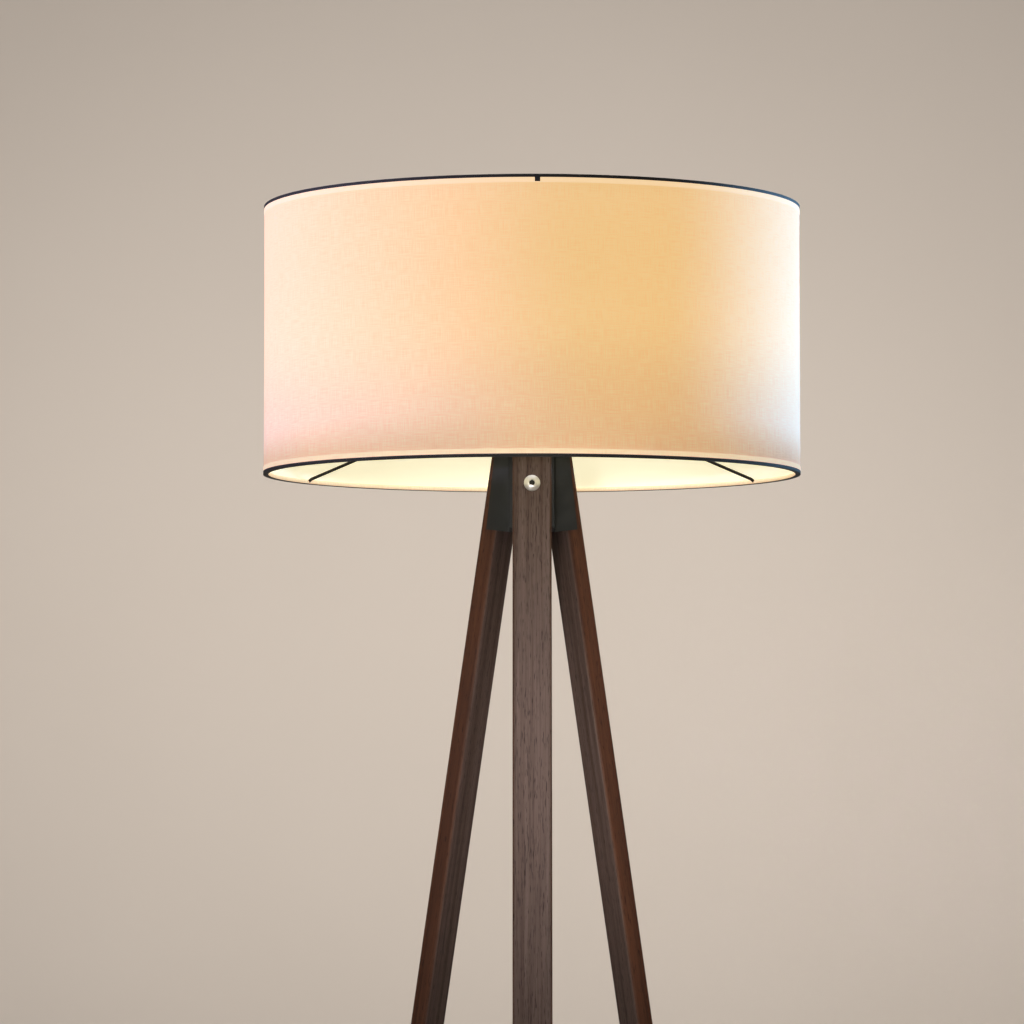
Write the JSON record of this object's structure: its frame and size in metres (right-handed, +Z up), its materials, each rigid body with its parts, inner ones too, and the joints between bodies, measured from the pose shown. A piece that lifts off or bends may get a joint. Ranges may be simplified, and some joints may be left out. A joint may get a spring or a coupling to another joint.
{
  "type": "tripod floor lamp",
  "caption": "Floor lamp on three splayed flat wooden legs bolted to a black steel hub, with a wide cream fabric drum shade on a wire carrier.",
  "frame": {"origin": "on the floor, on the vertical axis of the tripod and of the shade", "axes": "+Z up; the front leg stands towards -Y, the two rear legs towards +Y at 120 degrees to it; +X to the right as seen from the front"},
  "size_m": [0.4999, 0.5, 1.5],
  "materials": {
    "stained_wood": "dark stained wood, satin lacquer",
    "felt": "pressed dark felt",
    "black_powder_coat": "matt black powder coat",
    "black_wire": "black coated wire",
    "nickel": "satin nickel plate",
    "zinc_steel": "bright zinc plate",
    "black_plastic": "moulded black plastic",
    "ceramic": "white glazed insulator",
    "brass": "plain brass",
    "shade_cloth": "cream woven cloth, matt",
    "shade_liner": "white translucent liner sheet",
    "black_edging": "black folded edging tape",
    "white_plastic": "moulded white plastic",
    "opal": "opal diffuser, lit",
    "aluminium_board": "aluminium-backed board"
  },
  "bodies": {
    "stand": {"leg_front": "stained_wood", "leg_rear_right": "stained_wood", "leg_rear_left": "stained_wood", "foot_pad_front": "felt", "foot_pad_rear_right": "felt", "foot_pad_rear_left": "felt", "leg_bracket_front": "black_powder_coat", "leg_bracket_rear_right": "black_powder_coat", "leg_bracket_rear_left": "black_powder_coat", "leg_bolts": "nickel", "leg_spacers": "black_plastic", "weld_nuts": "zinc_steel", "hub_top_plate": "black_powder_coat", "hub_bottom_plate": "black_powder_coat", "column_tube": "zinc_steel", "column_nuts": "zinc_steel", "column_washers": "zinc_steel", "column_sleeve": "black_powder_coat", "cable_bush": "black_plastic", "holder_base": "black_plastic", "holder_shell": "black_plastic", "holder_insert": "ceramic", "holder_screw_shell": "brass", "holder_centre_contact": "brass", "terminal_screws": "zinc_steel"},
    "shade": {"shade_carrier_ring": "black_wire", "shade_arm_front": "black_wire", "shade_arm_rear_right": "black_wire", "shade_arm_rear_left": "black_wire", "shade_ring_bottom": "black_wire", "shade_ring_top": "black_wire", "shade_fabric": "shade_cloth", "shade_liner": "shade_liner", "shade_edging_bottom": "black_edging", "shade_edging_top": "black_edging", "edging_joint_tab": "black_edging"},
    "ring_nut": {"shade_ring_nut": "black_plastic"},
    "bulb": {"bulb_cap": "nickel", "bulb_cap_insulator": "black_plastic", "bulb_tip": "brass", "bulb_housing": "white_plastic", "bulb_globe": "opal", "bulb_led_board": "aluminium_board"}
  },
  "joints": [
    {"name": "shade_turn", "type": "hinge", "parent": "stand", "child": "shade", "pos_m": [0, 0, 1.32695], "axis": [0, 0, 1], "continuous": true},
    {"name": "ring_nut_turn", "type": "hinge", "parent": "stand", "child": "ring_nut", "pos_m": [0, 0, 1.332], "axis": [0, 0, 1], "range_deg": [0, 900]},
    {"name": "bulb_turn", "type": "hinge", "parent": "stand", "child": "bulb", "pos_m": [0, 0, 1.334], "axis": [0, 0, 1], "range_deg": [0, 1080]}
  ]
}
